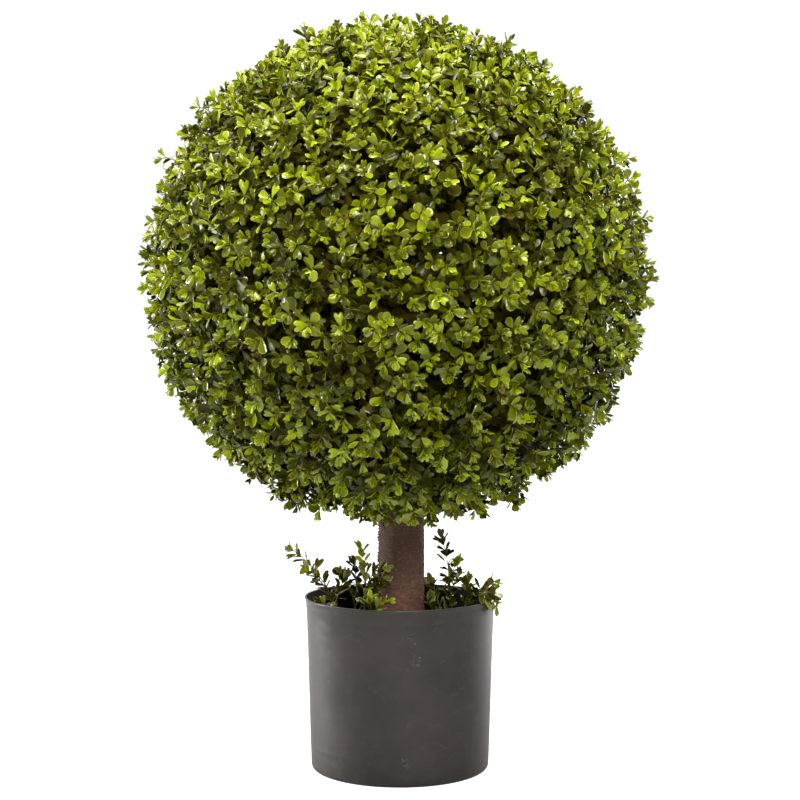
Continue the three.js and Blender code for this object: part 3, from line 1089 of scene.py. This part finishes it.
def build_fill():
    """The cast weight: plain below, with a rough top that rises a little to the pole."""
    columns = 120
    low, top = FILL_LOW.z, FILL_HIGH.z
    wall = (FILL_HIGH.x - FILL_LOW.x) / 2
    crown = 3 * MM  # how much higher its middle is than its edge
    edge = top - crown
    rings = []
    for radius, z in ((wall - 11 * MM, low), (wall - 6 * MM, low + 5 * MM), (wall - 0.3 * MM, edge)):
        rings.append([(radius * math.cos(turn), radius * math.sin(turn), z) for turn in turns(columns)])
    steps = 25
    for step in range(1, steps):
        share = step / steps
        ring = []
        for angle in turns(columns):
            radius = wall * (1 - share) + 4 * MM * share
            x, y = radius * math.cos(angle), radius * math.sin(angle)
            lumps = noise.noise(Vector((x * 90, y * 90, 1)))
            grains = noise.noise(Vector((x * 260, y * 260, 2)))
            rise = crown * math.sin(min(1, share * 1.3) * math.pi / 2)
            ring.append((x, y, edge + rise + 1.1 * MM * (lumps + 0.5 * grains)))
        rings.append(ring)
    add_piece("cast_fill", ring_mesh("cast_fill", rings, cast_fill_material()), "cast_fill", "pot_fill")


# ---- camera, light and floor ----
def new_object_facing(name, data, place, aim):
    """An object that stands at a place and looks at its aim."""
    made = new_object(name, data)
    made.location = place
    made.rotation_mode = "QUATERNION"
    made.rotation_quaternion = (Vector(aim) - Vector(place)).to_track_quat("-Z", "Y")
    return made


def build_camera():
    eye, aim = (0, -1.623, 0.415), (0, 0, 0.336)
    camera = new_object_facing("camera", bpy.data.cameras.new("camera"), eye, aim)
    camera.data.lens = 80.4
    camera.data.sensor_width = 36
    camera.data.clip_start = 0.05
    camera.data.clip_end = 50
    bpy.context.scene.camera = camera


def build_light(name, place, size, power):
    aim = (0, 0, 0.4)
    light = new_object_facing(name, bpy.data.lights.new(name, "AREA"), place, aim)
    light.data.shape = "RECTANGLE"
    light.data.size, light.data.size_y = size
    light.data.energy = power


def build_world():
    """White to look at. It lights the object dimly from in front and brightly from behind."""
    world = bpy.data.worlds.new("white_room")
    world.use_nodes = True
    tree = world.node_tree
    direction = add_node(tree, "ShaderNodeTexCoord").outputs["Generated"]
    depth = add_node(tree, "ShaderNodeSeparateXYZ", None, {0: direction}).outputs["Y"]
    inputs = {"From Min": 0.1, "From Max": 0.8, "To Min": ROOM_IN_FRONT, "To Max": ROOM_BEHIND}
    strength = add_node(tree, "ShaderNodeMapRange", None, {"Value": depth, **inputs}).outputs[0]
    lit = tree.nodes["Background"]
    lit.inputs["Color"].default_value = WHITE
    tree.links.new(strength, lit.inputs["Strength"])
    seen = add_node(tree, "ShaderNodeBackground", None, {"Color": WHITE, "Strength": ROOM_SEEN})
    rays = add_node(tree, "ShaderNodeLightPath").outputs["Is Camera Ray"]
    inputs = {0: rays, 1: lit.outputs[0], 2: seen.outputs[0]}
    shown = add_node(tree, "ShaderNodeMixShader", None, inputs).outputs[0]
    tree.links.new(shown, tree.nodes["World Output"].inputs["Surface"])
    bpy.context.scene.world = world
    bpy.context.scene.view_settings.view_transform = "Standard"


def build_floor():
    reach = 40
    corners = [(-reach, -reach, 0), (reach, -reach, 0), (reach, reach, 0), (-reach, reach, 0)]
    floor = mesh_from("floor", corners, [(0, 1, 2, 3)], None, False)
    shader = Shader("pale_floor", Base_Color=(0.6, 0.6, 0.6, 1), Roughness=1.0, Emission_Strength=0.9)
    shader.connect("Emission Color", shader.field("ShaderNodeLightPath"))
    floor.materials.append(shader.material)
    piece = new_object("floor", floor)


def build_studio():
    build_world()
    build_floor()
    build_light("top_box", (-0.35, -0.7, 2.1), (0.8, 0.8), 60)
    build_light("left_strip", (-1.7, 0.5, 0.6), (0.35, 1.6), 26)
    build_light("low_strip", (-4.2, 1.5, 0.4), (1.0, 0.8), 130)
    build_light("right_strip", (1.25, 1.35, 0.7), (0.3, 1.4), 36)
    build_light("front_box", (0.25, -2.3, 1.6), (0.8, 0.5), 49)


def build():
    build_camera()
    build_studio()
    build_pot()
    build_fill()
    build_trunk()
    grower = Grower()
    build_ball(grower)
    build_pot_sprigs(grower)
    for form in list(grower.forms.objects):
        bpy.data.objects.remove(form)
    bpy.data.collections.remove(grower.forms)


build()
